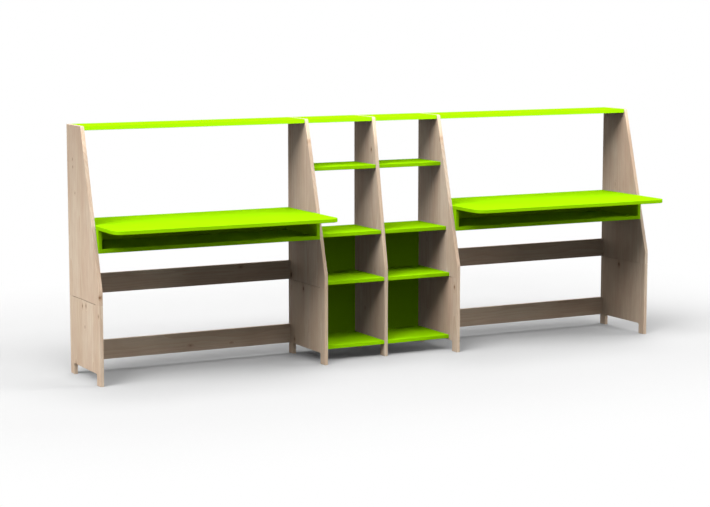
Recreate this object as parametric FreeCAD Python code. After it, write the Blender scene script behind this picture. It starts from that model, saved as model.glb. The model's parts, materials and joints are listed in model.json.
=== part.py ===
import FreeCAD, Part
import math
import os

# Double desk: two work places with a two-column shelf unit between them, in millimetres.
# The length runs along X, the front faces -Y and Z is up. The origin lies on the floor, in the middle of the
# desk's whole length and depth. Depths are measured forwards from the back of the uprights.

# Widths between the uprights
desk_bay = 1109.0
shelf_bay = 346.0

# Uprights: five outlines, each made of a lower and an upper board
upright_thickness = 18.0
upright_height = 1159.0
upright_depth = 392.0
divider_depth = 318.0
upright_top_depth = 186.0
knee_height = 432.0
knee_radius = 60.0
top_corner_radius = 12.0
seam_height = 367.5
seam_groove_height = 3.2
seam_groove_depth = 4.0
seam_groove_stop = 45.0
foot_height = 52.0
foot_length = 45.0
foot_corner_radius = 10.0
upright_edge_radius = 1.5

# Shelves: heights are those of their undersides, and the lower one's is counted from the uprights' seam
shelf_thickness = 18.0
shelf_edge_radius = 1.5
shelf_setback = 2.0
top_shelf_thickness = 20.0
top_shelf_depth = 185.0
upper_shelf_height = 912.0
storage_level = 597.0
lower_shelf_above_seam = 3.5
bottom_shelf_height = 60.0

# Desktops
desktop_thickness = 18.0
desktop_height = 720.0
desktop_depth = 565.0
desktop_corner_radius = 50.0
desktop_edge_radius = 2.0

# Pencil boxes under the desktops
box_board = 18.0
box_depth = 346.0
box_edge_radius = 1.5

# Rails at the back of the work places
rail_thickness = 18.0
rail_width = 92.0
rail_edge_radius = 1.5

# Back panels of the lower compartments, loose in grooves
panel_thickness = 4.0
panel_inset = 4.0
groove_depth = 6.0
groove_clearance = 0.25

# Dowels
dowel_radius = 4.0
dowel_chamfer = 0.8
dowel_in_board = 20.0
dowel_in_seam = 20.0
dowel_clearance = 0.1
dowel_end_gap = 0.4
dowel_cover = 6.0
hole_web = 2.0

# Cam locks and their bolts
cam_radius = 7.5
cam_cover = 5.5
cam_reach = 34.0
cam_clearance = 0.1
cam_slot_width = 2.0
cam_slot_length = 10.0
cam_slot_depth = 2.0
bolt_head_radius = 3.3
bolt_head_length = 5.0
bolt_neck_radius = 2.0
bolt_neck_length = 3.0
bolt_shank_radius = 3.0
bolt_thread_radius = 2.5
bolt_head_room = 0.5
bolt_clearance = 0.1

# Countersunk wood screws
screw_radius = 2.0
screw_head_radius = 4.0
screw_head_height = 2.5
screw_tip_length = 4.0
screw_tip_radius = 0.4
screw_recess_width = 1.0
screw_recess_length = 4.6
screw_recess_depth = 1.2
screw_clearance = 0.1
screw_cover = 6.0
screw_edge_bite = 27.0
screw_edge_distance = 60.0

# Places of the fittings along a board's end
joint_edge = 48.0
cam_step = 40.0
end_stagger = 16.0
rail_dowel_edge = 16.0
seam_dowel_edge = 20.0
box_dowel_edge = 20.0
box_top_dowel_spacing = 50.0

# Values that follow from the ones above
bays = [desk_bay, shelf_bay, shelf_bay, desk_bay]
length = sum(bays) + (len(bays) + 1) * upright_thickness
back_y = desktop_depth / 2
into_upright = upright_thickness - groove_depth - hole_web
screw_bite = upright_thickness - screw_cover
desktop_underside = desktop_height - desktop_thickness
box_floor = storage_level + box_board
box_wall_height = desktop_underside - box_floor
box_wall_middle = box_floor + box_wall_height / 2
groove_width = panel_thickness + 2 * groove_clearance
top_shelf_height = upright_height - top_shelf_thickness
lower_shelf_height = seam_height + lower_shelf_above_seam
uprights = ["left_end", "left_inner", "divider", "right_inner", "right_end"]
shelf_levels = {"upper": upper_shelf_height, "middle": storage_level,
                "lower": lower_shelf_height, "bottom": bottom_shelf_height}

upright_x = [-length / 2]
for bay in bays:
    upright_x.append(upright_x[-1] + upright_thickness + bay)

pieces = {}
tools = {}
fittings = {"seam_dowels": [], "shelf_dowels": [], "rail_dowels": [], "box_dowels": [],
            "cam_locks": [], "cam_bolts": [], "box_side_screws": [], "box_bottom_screws": []}

X = FreeCAD.Vector(1, 0, 0)
Y = FreeCAD.Vector(0, 1, 0)
Z = FreeCAD.Vector(0, 0, 1)


def at_depth(distance):
    """Y of a point that lies this far in front of the uprights' back."""
    return back_y - distance


def outline_depth(depth, z):
    """Depth of an upright's outline at a height: constant up to the knee, then sloping back to the top."""
    slope = (depth - upright_top_depth) / (upright_height - knee_height)
    return depth - max(z - knee_height, 0) * slope


def bay_ends(index):
    """X of the two upright faces that a bay lies between."""
    return upright_x[index] + upright_thickness, upright_x[index + 1]


def block(x_low, x_high, near_back, near_front, z_low, z_high):
    """Square-edged block between two X values, two depths and two heights."""
    corner = FreeCAD.Vector(x_low, at_depth(near_front), z_low)
    return Part.makeBox(x_high - x_low, near_front - near_back, z_high - z_low, corner)


def edges_along(solid, direction):
    """Straight edges of a solid that run along a direction."""
    picked = []
    for edge in solid.Edges:
        span = edge.lastVertex().Point - edge.firstVertex().Point
        if span.cross(direction).Length < 1e-6:
            picked.append(edge)
    return picked


def rounded_face(corners, place):
    """Flat face through (u, v, radius) corners, each rounded; place turns u and v into a point."""
    starts = []
    middles = []
    ends = []
    for index, (u, v, radius) in enumerate(corners):
        corner = FreeCAD.Vector(u, v, 0)
        before = corners[index - 1]
        after = corners[(index + 1) % len(corners)]
        to_before = (FreeCAD.Vector(before[0], before[1], 0) - corner).normalize()
        to_after = (FreeCAD.Vector(after[0], after[1], 0) - corner).normalize()
        half_angle = to_before.getAngle(to_after) / 2
        inwards = (to_before + to_after).normalize()
        tangent = radius / math.tan(half_angle)
        starts.append(corner + to_before * tangent)
        middles.append(corner + inwards * (radius / math.sin(half_angle) - radius))
        ends.append(corner + to_after * tangent)
    edges = []
    for index, (u, v, radius) in enumerate(corners):
        following = (index + 1) % len(corners)
        if radius > 0:
            arc_points = [place(point.x, point.y) for point in (starts[index], middles[index], ends[index])]
            edges.append(Part.Arc(*arc_points).toShape())
        line_start = place(ends[index].x, ends[index].y)
        line_end = place(starts[following].x, starts[following].y)
        edges.append(Part.makeLine(line_start, line_end))
    return Part.Face(Part.Wire(edges))


def add_piece(name, solid):
    """Keeps a board under its node's name, ready for its bores and grooves."""
    pieces[name] = solid
    tools[name] = []


def bore(names, tool):
    """Notes a hole or groove for those of the named boards that it reaches."""
    for name in names:
        if pieces[name].BoundBox.intersect(tool.BoundBox):
            tools[name].append(tool)


def boards_of(index):
    """Names of the two boards of an upright."""
    return [uprights[index] + "_lower", uprights[index] + "_upper"]


def foot_depth(index):
    """Depth of an upright below its knee; the divider is the shallower one."""
    return divider_depth if uprights[index] == "divider" else upright_depth


def make_upright(index):
    """Lower board with its two feet, and upper board with the knee, the slope and the rounded top corner."""
    depth = foot_depth(index)
    corners = [(0, 0, 0), (foot_length, 0, 0), (foot_length, foot_height, foot_corner_radius),
               (depth - foot_length, foot_height, foot_corner_radius), (depth - foot_length, 0, 0),
               (depth, 0, 0), (depth, knee_height, knee_radius),
               (upright_top_depth, upright_height, top_corner_radius), (0, upright_height, 0)]
    x_left = upright_x[index]
    face = rounded_face(corners, lambda u, v: FreeCAD.Vector(x_left, at_depth(u), v))
    blank = face.extrude(X * upright_thickness)
    outline = [edge for edge in blank.Edges if edge.BoundBox.XLength < 1e-6]
    blank = blank.makeFillet(upright_edge_radius, outline)
    x_right = x_left + upright_thickness
    lower_room = block(x_left, x_right, 0, depth, 0, seam_height)
    upper_room = block(x_left, x_right, 0, depth, seam_height, upright_height)
    for name, room in zip(boards_of(index), (lower_room, upper_room)):
        add_piece(name, blank.common(room).Solids[0])


def make_board(name, x_low, x_high, near_back, near_front, z_low, z_high, radius, along):
    """Plain board with its edges along one direction rounded."""
    solid = block(x_low, x_high, near_back, near_front, z_low, z_high)
    add_piece(name, solid.makeFillet(radius, edges_along(solid, along)))


def make_desktop(name, bay_index):
    """Desktop between two uprights, its front corners rounded in plan and its edges eased."""
    x_low, x_high = bay_ends(bay_index)
    corners = [(x_low, 0, 0), (x_high, 0, 0), (x_high, desktop_depth, desktop_corner_radius),
               (x_low, desktop_depth, desktop_corner_radius)]
    face = rounded_face(corners, lambda u, v: FreeCAD.Vector(u, at_depth(v), desktop_underside))
    solid = face.extrude(Z * desktop_thickness)
    outline = [edge for edge in solid.Edges if edge.BoundBox.ZLength < 1e-6]
    add_piece(name, solid.makeFillet(desktop_edge_radius, outline))


def shelf_depth(z_low):
    """Depth of a column shelf: just behind the divider's front edge at the shelf's top face."""
    return outline_depth(divider_depth, z_low + shelf_thickness) - shelf_setback


def placed(solid, origin, x_direction, z_direction):
    """Copy of a solid with its own x and z axes turned to two directions and its origin moved to a point."""
    y_direction = z_direction.cross(x_direction)
    turn = FreeCAD.Rotation(x_direction, y_direction, z_direction, "ZXY")
    copy = solid.copy()
    copy.Placement = FreeCAD.Placement(origin, turn)
    return copy


def rod(radius, start, end):
    """Cylinder along its own z axis between two heights."""
    return Part.makeCylinder(radius, end - start, FreeCAD.Vector(0, 0, start))


def make_dowel(span):
    """Wooden dowel along z, its centre at the origin, with both ends chamfered."""
    solid = rod(dowel_radius, -span / 2, span / 2)
    rims = [edge for edge in solid.Edges if edge.Curve.TypeId == "Part::GeomCircle"]
    return solid.makeChamfer(dowel_chamfer, rims)


def add_dowel(group, names, centre, along, span):
    """Dowel across a joint, and its hole in the boards on both sides."""
    across = Z if along.cross(Z).Length > 0.5 else X
    fittings[group].append(placed(make_dowel(span), centre, across, along))
    hole = rod(dowel_radius + dowel_clearance, -span / 2 - dowel_end_gap, span / 2 + dowel_end_gap)
    bore(names, placed(hole, centre, across, along))


def add_end_dowel(group, board_name, upright_index, face_x, outward, y, z):
    """Dowel from the end of a board into the upright beside it; outward is +1 or -1 along X."""
    span = dowel_in_board + into_upright
    centre = FreeCAD.Vector(face_x + outward * (into_upright - dowel_in_board) / 2, y, z)
    add_dowel(group, [board_name] + boards_of(upright_index), centre, X * outward, span)


def make_cam(thickness):
    """Cam lock along z: centre on the bolt's axis, open towards +x for the bolt, slotted on its +z face."""
    face_z = thickness / 2
    body = rod(cam_radius, face_z - (thickness - cam_cover), face_z)
    head_bore = Part.makeCylinder(bolt_head_radius + bolt_head_room, cam_radius + bolt_head_length,
                                  X * -(bolt_head_length / 2 + bolt_head_room), X)
    slots = []
    slot_corner = FreeCAD.Vector(-cam_slot_length / 2, -cam_slot_width / 2, face_z - cam_slot_depth)
    for turn in (0, 90):
        slot = Part.makeBox(cam_slot_length, cam_slot_width, cam_slot_depth, slot_corner)
        slot.rotate(FreeCAD.Vector(0, 0, 0), Z, turn)
        slots.append(slot)
    return body.cut([head_bore] + slots).Solids[0]


def make_cam_bolt():
    """Cam bolt along z: head at the origin, neck and shank in the board, thread in the upright."""
    head_end = bolt_head_length / 2
    neck_end = head_end + bolt_neck_length
    head = rod(bolt_head_radius, -head_end, head_end)
    neck = rod(bolt_neck_radius, head_end, neck_end)
    shank = rod(bolt_shank_radius, neck_end, cam_reach)
    thread = rod(bolt_thread_radius, cam_reach, cam_reach + into_upright)
    return head.multiFuse([neck, shank, thread]).removeSplitter().Solids[0]


def add_end_cam(board_name, upright_index, face_x, outward, y, z, mouth, thickness):
    """Cam lock in a board's face, its bolt through the board's end into the upright, and their holes."""
    towards_upright = X * outward
    centre = FreeCAD.Vector(face_x - outward * cam_reach, y, z)
    fittings["cam_locks"].append(placed(make_cam(thickness), centre, towards_upright, mouth))
    fittings["cam_bolts"].append(placed(make_cam_bolt(), centre, mouth, towards_upright))
    pocket_floor = cam_cover - thickness / 2 - cam_clearance
    pocket = rod(cam_radius + cam_clearance, pocket_floor, thickness)
    bore([board_name], placed(pocket, centre, towards_upright, mouth))
    shank_hole = rod(bolt_shank_radius + bolt_head_room, 0, cam_reach)
    bore([board_name], placed(shank_hole, centre, mouth, towards_upright))
    thread_end = cam_reach + into_upright + dowel_end_gap
    thread_hole = rod(bolt_thread_radius + bolt_clearance, cam_reach, thread_end)
    bore(boards_of(upright_index), placed(thread_hole, centre, mouth, towards_upright))


def make_screw(span):
    """Countersunk wood screw along z: its head, with a cross recess, starts at the origin."""
    head = Part.makeCone(screw_head_radius, screw_radius, screw_head_height)
    shank = rod(screw_radius, screw_head_height, span - screw_tip_length)
    tip = Part.makeCone(screw_radius, screw_tip_radius, screw_tip_length,
                        FreeCAD.Vector(0, 0, span - screw_tip_length))
    body = head.multiFuse([shank, tip]).removeSplitter()
    recesses = []
    for turn in (0, 90):
        recess = Part.makeBox(screw_recess_length, screw_recess_width, screw_recess_depth,
                              FreeCAD.Vector(-screw_recess_length / 2, -screw_recess_width / 2, 0))
        recess.rotate(FreeCAD.Vector(0, 0, 0), Z, turn)
        recesses.append(recess)
    return body.cut(recesses).Solids[0]


def add_screw(group, names, head_point, along, span):
    """Wood screw through one board into the next, and its countersunk hole."""
    across = X if along.cross(X).Length > 0.5 else Z
    fittings[group].append(placed(make_screw(span), head_point, across, along))
    wide = screw_head_radius + screw_clearance
    narrow = screw_radius + screw_clearance
    countersink = Part.makeCone(wide, narrow, screw_head_height + screw_clearance)
    shank_hole = rod(narrow, 0, span + dowel_end_gap)
    bore(names, placed(countersink.fuse(shank_hole), head_point, across, along))


def joint_places(depth):
    """Distances from the back of the dowels and of the cam locks along a board's end of this depth.
    A short end, where two cam locks would be closer together than to the dowels, has one in the middle."""
    dowels = [joint_edge, depth - joint_edge]
    cams = [joint_edge + cam_step, depth - joint_edge - cam_step]
    if cams[1] - cams[0] < cam_step:
        cams = [depth / 2]
    return dowels, cams


def fasten_ends(name, bay_index, depth, z_low, thickness):
    """Dowels and cam locks at both ends of a level board, staggered between its left and right end."""
    x_low, x_high = bay_ends(bay_index)
    z = z_low + thickness / 2
    dowels, cams = joint_places(depth)
    ends = ((x_low, -1, bay_index, end_stagger), (x_high, 1, bay_index + 1, 0))
    for face_x, outward, upright_index, shift in ends:
        for distance in dowels:
            y = at_depth(distance + shift)
            add_end_dowel("shelf_dowels", name, upright_index, face_x, outward, y, z)
        for distance in cams:
            y = at_depth(distance + shift)
            add_end_cam(name, upright_index, face_x, outward, y, z, -Z, thickness)


def make_shelf(name, bay_index, depth, z_low, thickness):
    """Level shelf between two uprights, with its end fittings."""
    x_low, x_high = bay_ends(bay_index)
    make_board(name, x_low, x_high, 0, depth, z_low, z_low + thickness, shelf_edge_radius, X)
    fasten_ends(name, bay_index, depth, z_low, thickness)


def make_top_shelf(name, bay_index):
    """Shelf that lies flush with the tops of two uprights."""
    make_shelf(name, bay_index, top_shelf_depth, top_shelf_height, top_shelf_thickness)


def make_rail(name, bay_index, z_low):
    """Rail on edge at the back of a work place, with two dowels and a cam lock at each end."""
    x_low, x_high = bay_ends(bay_index)
    make_board(name, x_low, x_high, 0, rail_thickness, z_low, z_low + rail_width, rail_edge_radius, X)
    y = at_depth(rail_thickness / 2)
    for face_x, outward, upright_index in ((x_low, -1, bay_index), (x_high, 1, bay_index + 1)):
        for z in (z_low + rail_dowel_edge, z_low + rail_width - rail_dowel_edge):
            add_end_dowel("rail_dowels", name, upright_index, face_x, outward, y, z)
        z_middle = z_low + rail_width / 2
        add_end_cam(name, upright_index, face_x, outward, y, z_middle, Y, rail_thickness)


def make_pencil_box(prefix, bay_index):
    """Open box under a desktop: a bottom board, two sides that stand on it and a back board between them."""
    x_low, x_high = bay_ends(bay_index)
    bottom = prefix + "_box_bottom"
    back = prefix + "_box_back"
    desktop = prefix + "_desktop"
    make_board(bottom, x_low, x_high, 0, box_depth, storage_level, box_floor, box_edge_radius, X)
    make_board(back, x_low + box_board, x_high - box_board, 0, box_board,
               box_floor, desktop_underside, box_edge_radius, X)
    back_middle_y = at_depth(box_board / 2)
    sides = ((prefix + "_box_left_side", x_low, 1, bay_index),
             (prefix + "_box_right_side", x_high, -1, bay_index + 1))
    for side, face_x, inward, upright_index in sides:
        x_inside = face_x + inward * box_board
        x_middle = face_x + inward * box_board / 2
        make_board(side, min(face_x, x_inside), max(face_x, x_inside), 0, box_depth,
                   box_floor, desktop_underside, box_edge_radius, Z)
        upright_front = outline_depth(upright_depth, desktop_underside)
        for distance in (screw_edge_distance, upright_front - screw_edge_distance):
            head_point = FreeCAD.Vector(x_inside, at_depth(distance), box_wall_middle)
            add_screw("box_side_screws", [side] + boards_of(upright_index), head_point,
                      X * -inward, box_board + screw_bite)
        for distance in (screw_edge_distance, box_depth / 2, box_depth - screw_edge_distance):
            head_point = FreeCAD.Vector(x_middle, at_depth(distance), storage_level)
            add_screw("box_bottom_screws", [bottom, side], head_point, Z, box_board + screw_edge_bite)
        for z in (box_floor + box_dowel_edge, desktop_underside - box_dowel_edge):
            x_dowel = x_inside + inward * (dowel_in_board - into_upright) / 2
            centre = FreeCAD.Vector(x_dowel, back_middle_y, z)
            add_dowel("box_dowels", [side, back], centre, X, dowel_in_board + into_upright)
        into_desktop = desktop_thickness - dowel_cover
        for step in (-box_top_dowel_spacing / 2, box_top_dowel_spacing / 2):
            centre = FreeCAD.Vector(x_middle, at_depth(upright_front / 2 + step),
                                    desktop_underside + (into_desktop - dowel_in_board) / 2)
            add_dowel("box_dowels", [side, desktop], centre, Z, dowel_in_board + into_desktop)
    for share in (1, 2, 3):
        x = x_low + share * (x_high - x_low) / 4
        head_point = FreeCAD.Vector(x, back_middle_y, storage_level)
        add_screw("box_bottom_screws", [bottom, back], head_point, Z, box_board + screw_edge_bite)


def make_back_panel(name, bay_index, below, above, z_below, z_above):
    """Thin panel in grooves of the two uprights and of the shelves below and above it."""
    x_low, x_high = bay_ends(bay_index)
    groove_back = panel_inset - groove_clearance
    groove = block(x_low - groove_depth, x_high + groove_depth, groove_back, groove_back + groove_width,
                   z_below - groove_depth, z_above + groove_depth)
    bore([below, above] + boards_of(bay_index) + boards_of(bay_index + 1), groove)
    reach = groove_depth - groove_clearance
    panel = block(x_low - reach, x_high + reach, panel_inset, panel_inset + panel_thickness,
                  z_below - reach, z_above + reach)
    add_piece(name, panel)


def join_seam(index):
    """Dowels in the butt joint between an upright's two boards, and a shadow groove along it on each face.
    The grooves are cut half in each board and stop short of the back and front edges."""
    x_left = upright_x[index]
    x_right = x_left + upright_thickness
    x_middle = (x_left + x_right) / 2
    joint_depth = outline_depth(foot_depth(index), seam_height + dowel_in_seam)
    for distance in (seam_dowel_edge, shelf_depth(lower_shelf_height) / 2, joint_depth - seam_dowel_edge):
        centre = FreeCAD.Vector(x_middle, at_depth(distance), seam_height)
        add_dowel("seam_dowels", boards_of(index), centre, Z, 2 * dowel_in_seam)
    for x_low, x_high in ((x_left, x_left + seam_groove_depth), (x_right - seam_groove_depth, x_right)):
        groove = block(x_low, x_high, seam_groove_stop, joint_depth - seam_groove_stop,
                       seam_height - seam_groove_height / 2, seam_height + seam_groove_height / 2)
        bore(boards_of(index), groove)


def make_work_place(prefix, bay_index):
    """Top shelf, desktop, pencil box and two rails between two uprights."""
    make_top_shelf(prefix + "_desk_top_shelf", bay_index)
    make_desktop(prefix + "_desktop", bay_index)
    joint_depth = outline_depth(upright_depth, desktop_height)
    fasten_ends(prefix + "_desktop", bay_index, joint_depth, desktop_underside, desktop_thickness)
    make_pencil_box(prefix, bay_index)
    make_rail(prefix + "_upper_rail", bay_index, seam_height)
    make_rail(prefix + "_lower_rail", bay_index, foot_height)


def make_column(prefix, bay_index):
    """Top shelf, four shelves and two back panels of one shelf column."""
    make_top_shelf(prefix + "_column_top_shelf", bay_index)
    for level, z_low in shelf_levels.items():
        name = prefix + "_column_" + level + "_shelf"
        make_shelf(name, bay_index, shelf_depth(z_low), z_low, shelf_thickness)
    for panel, below, above in (("upper", "lower", "middle"), ("lower", "bottom", "lower")):
        make_back_panel(prefix + "_column_" + panel + "_back", bay_index,
                        prefix + "_column_" + below + "_shelf", prefix + "_column_" + above + "_shelf",
                        shelf_levels[below] + shelf_thickness, shelf_levels[above])


def export_all():
    """Cuts every board's bores and grooves and writes one file per node."""
    os.makedirs("parts", exist_ok=True)
    for name, solid in pieces.items():
        finished = solid.cut(tools[name]) if tools[name] else solid
        finished.exportStep("parts/" + name + ".step")
    for name, solids in fittings.items():
        Part.makeCompound(solids).exportStep("parts/" + name + ".step")


for upright_index in range(len(uprights)):
    make_upright(upright_index)
make_work_place("left", 0)
make_column("left", 1)
make_column("right", 2)
make_work_place("right", 3)
for upright_index in range(len(uprights)):
    join_seam(upright_index)
export_all()
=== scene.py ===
"""Looks of the double desk: pine uprights and rails, lime lacquered boards, and the fittings inside."""
import bpy
import json
import math
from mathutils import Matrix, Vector


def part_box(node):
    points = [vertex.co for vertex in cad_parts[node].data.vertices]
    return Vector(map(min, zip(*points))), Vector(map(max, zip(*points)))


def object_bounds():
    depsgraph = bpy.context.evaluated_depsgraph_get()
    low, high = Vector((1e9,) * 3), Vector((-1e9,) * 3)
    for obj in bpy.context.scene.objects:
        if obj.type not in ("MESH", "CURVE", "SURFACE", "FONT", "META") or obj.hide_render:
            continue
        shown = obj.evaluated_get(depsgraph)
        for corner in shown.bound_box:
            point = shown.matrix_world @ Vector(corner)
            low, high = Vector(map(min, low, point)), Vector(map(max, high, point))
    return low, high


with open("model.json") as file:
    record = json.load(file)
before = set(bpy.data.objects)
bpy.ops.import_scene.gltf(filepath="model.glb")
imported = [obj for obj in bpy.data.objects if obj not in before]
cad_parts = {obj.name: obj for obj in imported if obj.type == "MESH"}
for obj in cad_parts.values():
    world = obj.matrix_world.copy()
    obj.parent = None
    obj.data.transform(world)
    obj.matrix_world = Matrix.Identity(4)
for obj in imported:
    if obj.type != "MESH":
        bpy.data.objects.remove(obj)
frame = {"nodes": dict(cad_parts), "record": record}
cad_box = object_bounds()
nodes = frame["nodes"]
mm = 0.001

# Camera: where the photograph was taken from, in metres and degrees
camera_place = (-4.4646, -8.2088, 1.7291)
camera_yaw = 27.71
camera_pitch = 7.49
camera_focal_pixels = 1939.46
image_width = 710
sensor_width = 36.0

# Broad lamps far away: name, turn from the front, height in the sky and breadth in degrees, strength, and
# whether it throws shadows; the one without keeps the insides of the boxes from going black
lamps = [
    ("key_lamp", -66.0, 48.0, 40.0, 2.28, True),
    ("fill_lamp", 71.0, 13.0, 30.0, 1.7, True),
    ("top_lamp", 140.0, 70.0, 26.0, 0.58, True),
    ("overhead_lamp", 0.0, 85.0, 20.0, 0.3, True),
    ("front_lamp", 0.0, 54.0, 24.0, 0.84, True),
    ("back_lamp", 180.0, 10.0, 30.0, 0.5, True),
    ("lifting_lamp", -55.0, 35.0, 10.0, 0.15, False)]

# Spot lamps: name, place, aim and radius in metres, height of the beam in degrees, how many times wider
# than high it is, and watts. The first lights the foot of the left end a little more than its top. The
# second stands far in front, level with the top shelves, and lights their front edges as brightly as
# their tops.
spots = [
    ("side_spot", (-3.5, -0.25, 0.3), (-1.5, -0.2, 0.4), 0.25, 50.0, 1.0, 30.0),
    ("edge_spot", (1.5, -8.0, 1.19), (-0.1, 0.1, 1.142), 0.05, 1.8, 28.0, 1600.0)]

# Softness of the edge of a spot lamp's beam, where 1 is the softest
spot_softness = 1.0

# Strength of the even light from the sky, and strength and colour of what the camera sees behind the desk
sky_strength = 0.19
backdrop_strength = 1.0
white = "#FFFFFF"

# Floor: how far from the desk it starts and ends to fade to plain white, and how much further it stays
# shaded behind the desk, in metres; its colour there, and the one that bounced light meets
floor_half_width = 40.0
floor_behind = 1.2
floor_fade_start = 0.1
floor_fade_end = 1.7
floor_colour = "#D6D6D6"
floor_bounce_colour = "#898989"

# Sizes of the pine's figure, in metres; rings and fibres are drawn coarser than real ones
board_thickness = 0.018
strip_width = 0.072
ring_spacing = 0.011
ring_wander = 0.045
wander_length = 0.4545
wander_width = 0.1111
fibre_width = 0.0022
fibre_length = 0.11
mottle_width = 0.12
mottle_length = 0.42

# Tones of the pine: the pale early wood, what lies over it, each with its largest share, and the factors
# by which fibres darken and lighten it
early_wood_colour = "#FDEBD3"
late_wood_colour = "#D8B28B"
late_wood_share = 0.5
strip_colour = "#DFC1A0"
strip_share = 0.45
mottle_colour = "#D6AE92"
mottle_share = 0.66
fibre_shades = (0.91, 1.05)

# Levels of the noise at which mottling and fibres are at their least and at their most
mottle_levels = (0.34, 0.72)
fibre_levels = (0.25, 0.75)

# Surface of the pine: how late in a ring its dark wood sets in, how much that stands up beside the fibres,
# and how rough the two kinds of wood are
late_wood_sharpness = 2.4
late_wood_relief = 0.35
early_wood_roughness = 0.56
late_wood_roughness = 0.46

# Knots: how far rings swell around one, in metres, and from where to where that fades, in the knot's
# radii; and how much of its length is counted along the grain and through the board, where it is longer
knot_swell = 0.016
knot_swell_reach = (0.8, 4.0)
knot_squeeze_along = 0.55
knot_squeeze_through = 0.45

# Tones of a knot, its halo and then its core: from where to where each fades, in the knot's radii, its
# largest share and its colour
knot_tones = [
    ((0.9, 2.6), 0.45, "#B98A5F"),
    ((0.55, 1.15), 0.75, "#8A5E3B")]

# Knots of the uprights: board, distance from the back, height, distance from the left face and radius, in
# millimetres
upright_knots = [
    ("left_end_upper", 74, 1002, 2, 3),
    ("left_end_upper", 77, 967, 2, 3),
    ("left_end_upper", 99, 849, 2, 3),
    ("left_end_upper", 390, 405, 3, 4),
    ("left_end_lower", 173, 338, 3, 5),
    ("left_end_lower", 219, 344, 3, 5),
    ("left_end_lower", 201, 245, 2, 3),
    ("left_end_lower", 379, 319, 2, 4),
    ("left_end_lower", 73, 46, 4, 8),
    ("left_inner_lower", 165, 338, 4, 6),
    ("left_inner_lower", 63, 76, 9, 6),
    ("left_inner_upper", 30, 389, 4, 8),
    ("left_inner_upper", 212, 1051, 9, 4),
    ("divider_lower", 120, 210, 17, 5),
    ("divider_upper", 179, 1000, 4, 5),
    ("right_inner_lower", 366, 322, 4, 5),
    ("right_inner_upper", 214, 1040, 9, 4),
    ("right_inner_upper", 90, 530, 17, 5),
    ("right_end_lower", 164, 340, 4, 7),
    ("right_end_upper", 120, 760, 17, 5)]

# Knots of the rails: board, distance from its left end, height above its lower edge and radius, in
# millimetres
rail_knots = [
    ("left_lower_rail", 577, 29, 5),
    ("left_lower_rail", 792, 25, 4),
    ("left_upper_rail", 844, 76, 5)]

# Lime lacquer: sizes of its texture in metres, the levels of the noise between which its tone and its
# roughness change, and these
peel_size = 0.004
cloud_size = 0.25
cloud_levels = (0.3, 0.7)
lime_colours = ("#ACF408", "#A7EE06")
lime_roughness = (0.66, 0.74)

# Beech: size of its flecks in metres, the levels of the noise between which they show, and its two tones
fleck_size = 0.00111
fleck_levels = (0.5, 0.75)
beech_colours = ("#CFA97F", "#A97E56")

# Places of a Mix node's sockets where it mixes colours: the share of the second colour, the two colours
# and the result
mix_share = 0
mix_first = 6
mix_second = 7
mix_result = 2


def linear(hex_colour):
    """Linear colour, with alpha, of an sRGB hex value."""
    channels = [int(hex_colour[start:start + 2], 16) / 255 for start in (1, 3, 5)]
    return tuple(c / 12.92 if c <= 0.04045 else ((c + 0.055) / 1.055) ** 2.4 for c in channels) + (1.0,)


def add(tree, kind, inputs=None, **settings):
    """Outputs of a new shader node; an input is given a value, or a socket that it is linked to."""
    node = tree.nodes.new("ShaderNode" + kind)
    for name, value in settings.items():
        setattr(node, name, value)
    for socket, value in (inputs or {}).items():
        if isinstance(value, bpy.types.NodeSocket):
            tree.links.new(value, node.inputs[socket])
        else:
            node.inputs[socket].default_value = value
    return node.outputs


def empty_tree(owner):
    """Node tree of a material or of the world, with nothing in it yet."""
    owner.use_nodes = True
    owner.node_tree.nodes.clear()
    return owner.node_tree


def new_object(name, data):
    """Object with that mesh, lamp or camera, put into the scene."""
    made = bpy.data.objects.new(name, data)
    bpy.context.scene.collection.objects.link(made)
    return made


def along_grain(grain, width, length):
    """Scale of a pattern that has this width across the grain and this length along it."""
    scale = [1 / width] * 3
    scale["XYZ".index(grain)] = 1 / length
    return scale


def knot_distance(tree, place, grain, through, knots):
    """Distance to the nearest knot, counted in that knot's radii; knots are longer along the grain, and
    longer still through the board, because they are the roots of branches."""
    shape = [1.0, 1.0, 1.0]
    shape["XYZ".index(grain)] = knot_squeeze_along
    shape["XYZ".index(through)] = knot_squeeze_through
    squeezed = add(tree, "VectorMath", {0: place, 1: shape}, operation="MULTIPLY")[0]
    nearest = None
    for centre, radius in knots:
        middle = [coordinate * factor for coordinate, factor in zip(centre, shape)]
        apart = add(tree, "VectorMath", {0: squeezed, 1: middle}, operation="DISTANCE")["Value"]
        in_radii = add(tree, "Math", {0: apart, 1: radius}, operation="DIVIDE")[0]
        if nearest is None:
            nearest = in_radii
        else:
            nearest = add(tree, "Math", {0: nearest, 1: in_radii}, operation="MINIMUM")[0]
    return nearest


def pine_strips(tree, across, board):
    """Strips that a board is glued up from: the place across the strip, from 0 to 1, the strip's random
    tone and its three random values."""
    shifted = add(tree, "Math", {0: board, 1: strip_width, 2: across}, operation="MULTIPLY_ADD")[0]
    strips = add(tree, "Math", {0: shifted, 1: strip_width}, operation="DIVIDE")[0]
    within = add(tree, "Math", {0: strips}, operation="FRACT")[0]
    strip = add(tree, "Math", {0: strips}, operation="FLOOR")[0]
    key = add(tree, "CombineXYZ", {0: strip, 1: board})[0]
    chance = add(tree, "TexWhiteNoise", {"Vector": key}, noise_dimensions="2D")
    chances = add(tree, "SeparateXYZ", {0: chance["Color"]})
    return within, chance["Value"], chances


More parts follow.
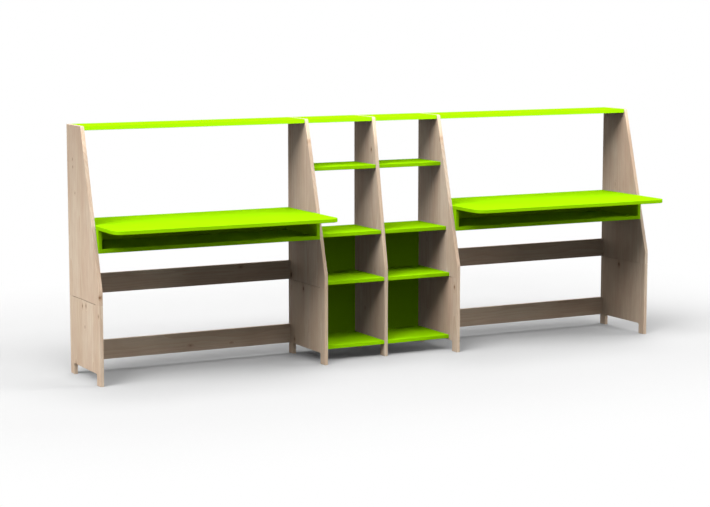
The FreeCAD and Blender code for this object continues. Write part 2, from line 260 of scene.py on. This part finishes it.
def pith_distance(tree, within, depth, chances):
    """Distance from the pith of the log that a strip was sawn from, which lies at random beside it."""
    aside = add(tree, "Math", {0: within, 1: chances[0]}, operation="SUBTRACT")[0]
    aside = add(tree, "Math", {0: aside, 1: strip_width}, operation="MULTIPLY")[0]
    inward = add(tree, "Math", {0: depth, 1: board_thickness}, operation="MULTIPLY")[0]
    inward = add(tree, "Math", {0: chances[1], 1: strip_width, 2: inward}, operation="MULTIPLY_ADD")[0]
    to_pith = add(tree, "CombineXYZ", {0: aside, 1: inward})[0]
    return add(tree, "VectorMath", {0: to_pith}, operation="LENGTH")["Value"]


def ring_shift(tree, along, across, chance, board, knot):
    """How far the growth rings are shifted, because they wander along the grain and swell around knots."""
    slow_along = add(tree, "Math", {0: along, 1: wander_length}, operation="DIVIDE")[0]
    slow_across = add(tree, "Math", {0: across, 1: wander_width}, operation="DIVIDE")[0]
    key = add(tree, "CombineXYZ", {0: slow_along, 1: slow_across, 2: chance})[0]
    wander = add(tree, "TexNoise", {"Vector": key, "W": board, "Scale": 1.0, "Detail": 2.0},
                 noise_dimensions="4D")[0]
    near, far = knot_swell_reach
    swell = add(tree, "MapRange", {"Value": knot, "From Min": near, "From Max": far,
                                   "To Min": knot_swell, "To Max": 0.0},
                interpolation_type="SMOOTHSTEP")[0]
    return add(tree, "Math", {0: wander, 1: ring_wander, 2: swell}, operation="MULTIPLY_ADD")[0]


def pine_fibres(tree, place, grain):
    """Noise of fine fibres along the grain."""
    scale = along_grain(grain, fibre_width, fibre_length)
    key = add(tree, "VectorMath", {0: place, 1: scale}, operation="MULTIPLY")[0]
    return add(tree, "TexNoise", {"Vector": key, "Scale": 1.0, "Detail": 3.0})[0]


def pine_mottling(tree, place, grain, board):
    """Broad clouds of darker tone, longer along the grain, from 0 to 1."""
    scale = along_grain(grain, mottle_width, mottle_length)
    key = add(tree, "VectorMath", {0: place, 1: scale}, operation="MULTIPLY")[0]
    cloud = add(tree, "TexNoise", {"Vector": key, "W": board, "Scale": 1.0, "Detail": 4.0,
                                   "Roughness": 0.68}, noise_dimensions="4D")[0]
    least, most = mottle_levels
    return add(tree, "MapRange", {"Value": cloud, "From Min": least, "From Max": most})[0]


def pine_colour(tree, late_wood, strip_tone, mottle, fibre, knot):
    """Colour of the pine: early wood, and over it late wood, strip tones, mottling, fibres and knots."""
    colour = linear(early_wood_colour)
    for level, most, tone in ((late_wood, late_wood_share, late_wood_colour),
                              (strip_tone, strip_share, strip_colour),
                              (mottle, mottle_share, mottle_colour)):
        share = add(tree, "Math", {0: level, 1: most}, operation="MULTIPLY")[0]
        colour = add(tree, "Mix", {mix_share: share, mix_first: colour, mix_second: linear(tone)},
                     data_type="RGBA")[mix_result]
    low, high = fibre_levels
    dark, pale = fibre_shades
    shade = add(tree, "MapRange", {"Value": fibre, "From Min": low, "From Max": high,
                                   "To Min": dark, "To Max": pale})[0]
    colour = add(tree, "VectorMath", {0: colour, "Scale": shade}, operation="SCALE")[0]
    for (near, far), most, tone in knot_tones:
        share = add(tree, "MapRange", {"Value": knot, "From Min": near, "From Max": far,
                                       "To Min": most, "To Max": 0.0},
                    interpolation_type="SMOOTHSTEP")[0]
        colour = add(tree, "Mix", {mix_share: share, mix_first: colour, mix_second: linear(tone)},
                     data_type="RGBA")[mix_result]
    return colour


def lacquered_pine(name, grain, across, through, knots):
    """Edge-glued pine under clear matt lacquer: strips of slightly different tone, each with its own growth
    rings. The eye sees pale cream wood with soft amber streaks along the grain and a few brown knots that
    the streaks flow around. Real rings are about 3 mm apart; they are drawn coarser so that they show from
    a few steps away."""
    material = bpy.data.materials.new(name)
    tree = empty_tree(material)
    texture = add(tree, "TexCoord")
    place = texture["Object"]
    axes = add(tree, "SeparateXYZ", {0: place})
    depth = add(tree, "SeparateXYZ", {0: texture["Generated"]})[through]
    board = add(tree, "ObjectInfo")["Random"]
    within, strip_tone, chances = pine_strips(tree, axes[across], board)
    knot = knot_distance(tree, place, grain, through, knots)
    radius = pith_distance(tree, within, depth, chances)
    shift = ring_shift(tree, axes[grain], axes[across], chances[2], board, knot)
    shifted = add(tree, "Math", {0: radius, 1: shift}, operation="ADD")[0]
    rings = add(tree, "Math", {0: shifted, 1: ring_spacing}, operation="DIVIDE")[0]
    ring_age = add(tree, "Math", {0: rings}, operation="FRACT")[0]
    late_wood = add(tree, "Math", {0: ring_age, 1: late_wood_sharpness}, operation="POWER")[0]
    fibre = pine_fibres(tree, place, grain)
    mottle = pine_mottling(tree, place, grain, board)
    colour = pine_colour(tree, late_wood, strip_tone, mottle, fibre, knot)
    roughness = add(tree, "MapRange", {"Value": late_wood, "To Min": early_wood_roughness,
                                       "To Max": late_wood_roughness})[0]
    relief = add(tree, "Math", {0: late_wood, 1: late_wood_relief, 2: fibre},
                 operation="MULTIPLY_ADD")[0]
    bump = add(tree, "Bump", {"Strength": 0.12, "Distance": 0.0006, "Height": relief})[0]
    shader = add(tree, "BsdfPrincipled", {"Base Color": colour, "Roughness": roughness, "Normal": bump,
                                          "IOR": 1.5, "Specular IOR Level": 0.08})[0]
    add(tree, "OutputMaterial", {"Surface": shader})
    return material


def lime_lacquer():
    """Sprayed matt lacquer on a smooth board. The eye sees an even lime green with hardly any shine, and
    close up the faint orange peel of the spray. Its lumps are drawn a little coarser than the real 2 mm
    ones."""
    material = bpy.data.materials.new("lime_matt_lacquer")
    tree = empty_tree(material)
    place = add(tree, "TexCoord")["Object"]
    cloud = add(tree, "TexNoise", {"Vector": place, "Scale": 1 / cloud_size, "Detail": 2.0})[0]
    low, high = cloud_levels
    share = add(tree, "MapRange", {"Value": cloud, "From Min": low, "From Max": high})[0]
    bright, deep = lime_colours
    colour = add(tree, "Mix", {mix_share: share, mix_first: linear(bright), mix_second: linear(deep)},
                 data_type="RGBA")[mix_result]
    smooth, rough = lime_roughness
    roughness = add(tree, "MapRange", {"Value": share, "To Min": smooth, "To Max": rough})[0]
    peel = add(tree, "TexNoise", {"Vector": place, "Scale": 1 / peel_size, "Detail": 1.0})[0]
    bump = add(tree, "Bump", {"Strength": 0.03, "Distance": 0.0002, "Height": peel})[0]
    shader = add(tree, "BsdfPrincipled", {"Base Color": colour, "Roughness": roughness, "Normal": bump,
                                          "IOR": 1.5, "Specular IOR Level": 0.0})[0]
    add(tree, "OutputMaterial", {"Surface": shader})
    return material


def beech_dowel():
    """Machined beech rod. The eye sees even pinkish brown with fine dark flecks."""
    material = bpy.data.materials.new("machined_beech")
    tree = empty_tree(material)
    place = add(tree, "TexCoord")["Object"]
    fleck = add(tree, "TexNoise", {"Vector": place, "Scale": 1 / fleck_size, "Detail": 2.0})[0]
    low, high = fleck_levels
    share = add(tree, "MapRange", {"Value": fleck, "From Min": low, "From Max": high})[0]
    pale, dark = beech_colours
    colour = add(tree, "Mix", {mix_share: share, mix_first: linear(pale), mix_second: linear(dark)},
                 data_type="RGBA")[mix_result]
    bump = add(tree, "Bump", {"Strength": 0.2, "Distance": 0.0003, "Height": fleck})[0]
    shader = add(tree, "BsdfPrincipled", {"Base Color": colour, "Roughness": 0.6, "Normal": bump})[0]
    add(tree, "OutputMaterial", {"Surface": shader})
    return material


def bright_metal(name, pale, dark, smooth, rough, grain_size):
    """Bare fitting metal: the eye sees that die-cast zinc is dull and grainy, and plated steel smoother and
    brighter. The grain is drawn coarser than the real one, which is too fine to show."""
    material = bpy.data.materials.new(name)
    tree = empty_tree(material)
    place = add(tree, "TexCoord")["Object"]
    grain = add(tree, "TexNoise", {"Vector": place, "Scale": 1 / grain_size, "Detail": 3.0})[0]
    colour = add(tree, "Mix", {mix_share: grain, mix_first: linear(pale), mix_second: linear(dark)},
                 data_type="RGBA")[mix_result]
    roughness = add(tree, "MapRange", {"Value": grain, "To Min": smooth, "To Max": rough})[0]
    bump = add(tree, "Bump", {"Strength": 0.15, "Distance": 0.0002, "Height": grain})[0]
    shader = add(tree, "BsdfPrincipled", {"Base Color": colour, "Metallic": 1.0, "Roughness": roughness,
                                          "Normal": bump})[0]
    add(tree, "OutputMaterial", {"Surface": shader})
    return material


def upright_knot_places():
    """Knots of the uprights as points in the desk's frame, with their radii in metres."""
    places = []
    for node, from_back, height, from_left, radius in upright_knots:
        low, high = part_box(node)
        centre = (low.x + from_left * mm, high.y - from_back * mm, height * mm)
        places.append((centre, radius * mm))
    return places


def rail_knot_places():
    """Knots of the rails as points in the desk's frame, with their radii in metres."""
    places = []
    for node, from_left, up, radius in rail_knots:
        low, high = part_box(node)
        centre = (low.x + from_left * mm, (low.y + high.y) / 2, low.z + up * mm)
        places.append((centre, radius * mm))
    return places


def dress_nodes():
    """Gives every node of the desk its finish; what has no finish of its own is pine."""
    upright_pine = lacquered_pine("clear_lacquered_pine_upright", "Z", "Y", "X", upright_knot_places())
    rail_pine = lacquered_pine("clear_lacquered_pine_rail", "X", "Z", "Y", rail_knot_places())
    finishes = {
        "lime_lacquer": lime_lacquer(),
        "beech": beech_dowel(),
        "zinc": bright_metal("die_cast_zinc", pale="#B9BBBD", dark="#8F9295", smooth=0.38, rough=0.55,
                             grain_size=0.0012),
        "steel": bright_metal("zinc_plated_steel", pale="#C9CCD0", dark="#A9ADB3", smooth=0.22, rough=0.34,
                              grain_size=0.0008)}
    for part in frame["record"]["subparts"]:
        name = part["node"]
        pine = rail_pine if name.endswith("_rail") else upright_pine
        nodes[name].data.materials.clear()
        nodes[name].data.materials.append(finishes.get(part["material_slot"], pine))


def seen_rays(tree):
    """One for rays from the camera, from a reflection or through glass, and zero for bounced light."""
    rays = add(tree, "LightPath")
    seen = add(tree, "Math", {0: rays["Is Camera Ray"], 1: rays["Is Glossy Ray"]},
               operation="MAXIMUM")[0]
    return add(tree, "Math", {0: seen, 1: rays["Is Transmission Ray"]}, operation="MAXIMUM")[0]


def floor_fade(tree):
    """Zero on the floor around the desk, rising to one further away."""
    place = add(tree, "TexCoord")["Object"]
    shift = Vector((0, floor_behind / 2, 0))
    reach = Vector(cad_box[1]) + shift
    beside = add(tree, "VectorMath", {0: place, 1: shift}, operation="SUBTRACT")[0]
    beside = add(tree, "VectorMath", {0: beside}, operation="ABSOLUTE")[0]
    beside = add(tree, "VectorMath", {0: beside, 1: (reach.x, reach.y, 0)}, operation="SUBTRACT")[0]
    beside = add(tree, "VectorMath", {0: beside, 1: (0, 0, 0)}, operation="MAXIMUM")[0]
    away = add(tree, "VectorMath", {0: beside}, operation="LENGTH")["Value"]
    return add(tree, "MapRange", {"Value": away, "From Min": floor_fade_start, "From Max": floor_fade_end},
               interpolation_type="SMOOTHSTEP")[0]


def pale_floor():
    """Smooth matt paint. The eye sees soft shade around the desk and plain white further away; bounced
    light meets plain grey, so that the white doesn't light the desk."""
    material = bpy.data.materials.new("pale_floor")
    # The white is only there to be seen, so no light is sampled from it
    material.cycles.emission_sampling = "NONE"
    tree = empty_tree(material)
    shaded = add(tree, "BsdfDiffuse", {"Color": linear(floor_colour)})[0]
    plain = add(tree, "Emission", {"Color": linear(white), "Strength": backdrop_strength})[0]
    shown = add(tree, "MixShader", {0: floor_fade(tree), 1: shaded, 2: plain})[0]
    bounced = add(tree, "BsdfDiffuse", {"Color": linear(floor_bounce_colour)})[0]
    both = add(tree, "MixShader", {0: seen_rays(tree), 1: bounced, 2: shown})[0]
    add(tree, "OutputMaterial", {"Surface": both})
    return material


def make_floor():
    """Large flat floor under the desk."""
    corners = [(-1, -1), (1, -1), (1, 1), (-1, 1)]
    points = [(x * floor_half_width, y * floor_half_width, 0) for x, y in corners]
    mesh = bpy.data.meshes.new("floor")
    mesh.from_pydata(points, [], [(0, 1, 2, 3)])
    mesh.materials.append(pale_floor())
    floor = new_object("floor", mesh)


def make_backdrop():
    """White backdrop to be seen, and a faint even sky that lights the desk."""
    world = bpy.data.worlds.new("studio")
    tree = empty_tree(world)
    sky = add(tree, "Background", {"Color": linear(white), "Strength": sky_strength})[0]
    plain = add(tree, "Background", {"Color": linear(white), "Strength": backdrop_strength})[0]
    both = add(tree, "MixShader", {0: seen_rays(tree), 1: sky, 2: plain})[0]
    add(tree, "OutputWorld", {"Surface": both})
    bpy.context.scene.world = world


def make_lamps():
    """Broad soft lamps far away."""
    for name, turn, height, breadth, strength, shadows in lamps:
        lamp = bpy.data.lights.new(name, "SUN")
        lamp.energy = strength
        lamp.angle = math.radians(breadth)
        lamp.use_shadow = shadows
        stand = new_object(name, lamp)
        stand.rotation_euler = (math.radians(90 - height), 0, math.radians(turn))


def make_spots():
    """Spot lamps, each at its place and turned to its aim; the camera doesn't see them."""
    for name, place, aim, radius, beam, stretch, power in spots:
        spot = bpy.data.lights.new(name, "SPOT")
        spot.energy = power
        spot.shadow_soft_size = radius
        spot.spot_size = math.radians(beam)
        spot.spot_blend = spot_softness
        stand = new_object(name, spot)
        stand.location = place
        backward = Vector(place) - Vector(aim)
        stand.rotation_euler = backward.to_track_quat("Z", "Y").to_euler()
        stand.scale = (stretch, 1, 1)
        stand.visible_camera = False


def make_camera():
    """Camera at the photograph's place, looking down a little and to the right."""
    camera = bpy.data.cameras.new("camera")
    camera.sensor_width = sensor_width
    camera.lens = sensor_width * camera_focal_pixels / image_width
    stand = new_object("camera", camera)
    stand.location = camera_place
    stand.rotation_euler = (math.radians(90 - camera_pitch), 0, math.radians(-camera_yaw))
    bpy.context.scene.camera = stand


bpy.context.scene.view_settings.view_transform = "Standard"
# The photograph shows no lime light thrown onto the wood, so light doesn't bounce between the boards
bpy.context.scene.cycles.diffuse_bounces = 0
dress_nodes()
make_floor()
make_backdrop()
make_lamps()
make_spots()
make_camera()
